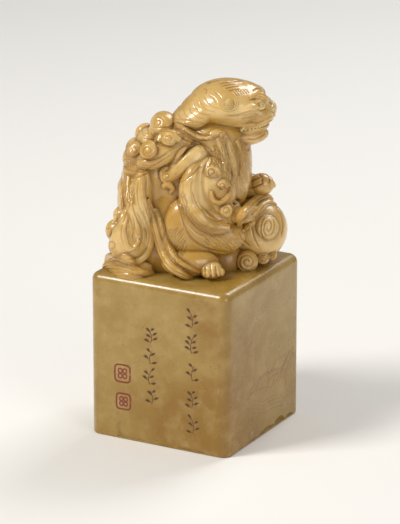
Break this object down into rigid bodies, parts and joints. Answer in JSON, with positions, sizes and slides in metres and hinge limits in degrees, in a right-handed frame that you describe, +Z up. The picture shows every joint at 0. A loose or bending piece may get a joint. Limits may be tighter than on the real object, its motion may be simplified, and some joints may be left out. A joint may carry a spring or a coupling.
{
  "type": "seal stamp",
  "caption": "Carved soapstone seal stamp: a square column with a fret printing face below and a guardian lion with a brocade ball carved on top as the handle",
  "frame": {"origin": "centre of the printing face's outline, at the height that the stamp stands on", "axes": "+Z up along the column, -Y the left visible face of the column, +X the right visible face"},
  "size_m": [0.0463, 0.0414, 0.0945],
  "materials": {
    "block_stone": "waxed and polished, mottled cream and honey",
    "lion_stone": "waxed and polished, honey yellow, darker in the hollows",
    "carved_hair_stone": "waxed, finely carved, amber in the cuts",
    "polished_stone": "high polish",
    "printing_face": "matt, stained by red seal paste"
  },
  "bodies": {
    "root": {"ball_ribbon": "lion_stone", "ball_spiral": "carved_hair_stone", "brocade_ball": "lion_stone", "hair_skirt": "carved_hair_stone", "left_cape_lock": "carved_hair_stone", "left_chest_lock": "carved_hair_stone", "left_ear": "carved_hair_stone", "left_eye": "polished_stone", "left_haunch_lock": "carved_hair_stone", "left_hind_foot": "lion_stone", "left_hind_paw": "lion_stone", "left_leg_fringe": "carved_hair_stone", "left_mane_curls": "carved_hair_stone", "left_raised_foreleg": "lion_stone", "left_raised_paw": "lion_stone", "left_shoulder_flame": "carved_hair_stone", "left_thigh": "lion_stone", "lion_head": "lion_stone", "lion_neck": "lion_stone", "lion_trunk": "lion_stone", "lower_jaw": "lion_stone", "lower_teeth": "polished_stone", "nape_curls": "carved_hair_stone", "nose": "lion_stone", "printing_relief": "printing_face", "ribbon_bud": "carved_hair_stone", "ribbon_curl": "carved_hair_stone", "ribbon_leaf": "carved_hair_stone", "right_cape_lock": "carved_hair_stone", "right_chest_lock": "carved_hair_stone", "right_ear": "carved_hair_stone", "right_elbow_fringe": "carved_hair_stone", "right_eye": "polished_stone", "right_foreleg": "lion_stone", "right_foreleg_curl": "carved_hair_stone", "right_forepaw": "lion_stone", "right_haunch_lock": "carved_hair_stone", "right_hind_foot": "lion_stone", "right_hind_paw": "lion_stone", "right_leg_fringe": "carved_hair_stone", "right_mane_curls": "carved_hair_stone", "right_shoulder_flame": "carved_hair_stone", "right_thigh": "lion_stone", "seal_block": "block_stone", "tail_curls": "carved_hair_stone", "upper_teeth": "polished_stone"}
  },
  "joints": []
}
